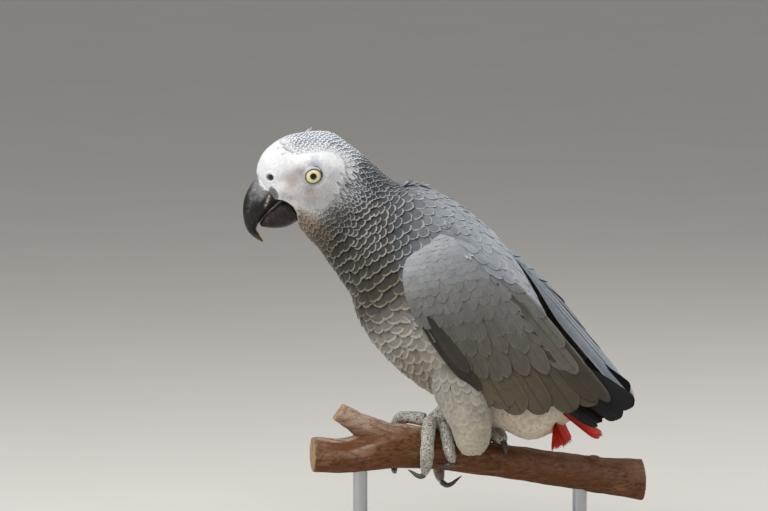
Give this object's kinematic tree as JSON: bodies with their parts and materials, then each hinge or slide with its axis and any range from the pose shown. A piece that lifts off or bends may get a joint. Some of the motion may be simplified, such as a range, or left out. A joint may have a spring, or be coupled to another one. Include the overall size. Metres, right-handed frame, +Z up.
{
  "type": "grey parrot on a display stand",
  "caption": "Life-size still grey parrot gripping a short cut branch, held by a plain round base and steel rods.",
  "frame": {"origin": "centre of the round base's underside, on the surface that it stands on", "axes": "+Z up, the bird's head towards -X and its left side towards -Y"},
  "size_m": [0.2219, 0.144, 0.2381],
  "materials": {
    "skin": "bare powdery skin",
    "head_feathers": "short pale grey feathers",
    "neck_feathers": "grey feathers with pale edges",
    "body_feathers": "grey feathers with pale edges",
    "belly_feathers": "soft cream white feathers",
    "covert_feathers": "smooth grey covert feathers",
    "flight_feathers": "brownish grey flight feathers",
    "dark_feathers": "dark grey feathers",
    "black_feathers": "black feather vanes",
    "red_feathers": "scarlet feathers",
    "bill": "dark horn, powdery at its base",
    "foot": "grey scaled skin",
    "claw": "dark polished horn",
    "eye": "pale yellow iris under a clear cornea",
    "bark": "reddish brown bark with pale cut ends",
    "stand": "satin dark grey",
    "rod": "brushed"
  },
  "bodies": {
    "root": {"cere": "skin", "head": "head_feathers", "neck": "neck_feathers", "breast": "body_feathers", "trunk": "body_feathers", "rump": "belly_feathers", "tail": "red_feathers", "undertail_tuft": "red_feathers", "bill_upper": "bill", "bill_lower": "bill", "perch": "bark", "stand_base": "stand", "stand_rod_1": "rod", "stand_rod_2": "rod", "eye_left": "eye", "wing_left_coverts": "covert_feathers", "wing_left_secondaries": "flight_feathers", "wing_left_alula": "dark_feathers", "wing_left_primaries": "black_feathers", "wing_left_inner_primaries": "black_feathers", "thigh_left": "belly_feathers", "foot_left": "foot", "toe_left_inner_front": "foot", "claw_left_inner_front": "claw", "toe_left_outer_front": "foot", "claw_left_outer_front": "claw", "toe_left_inner_back": "foot", "claw_left_inner_back": "claw", "toe_left_outer_back": "foot", "claw_left_outer_back": "claw", "eye_right": "eye", "wing_right_coverts": "covert_feathers", "wing_right_secondaries": "flight_feathers", "wing_right_alula": "dark_feathers", "wing_right_primaries": "black_feathers", "wing_right_inner_primaries": "black_feathers", "thigh_right": "belly_feathers", "foot_right": "foot", "toe_right_inner_front": "foot", "claw_right_inner_front": "claw", "toe_right_outer_front": "foot", "claw_right_outer_front": "claw", "toe_right_inner_back": "foot", "claw_right_inner_back": "claw", "toe_right_outer_back": "foot", "claw_right_outer_back": "claw"}
  },
  "joints": []
}
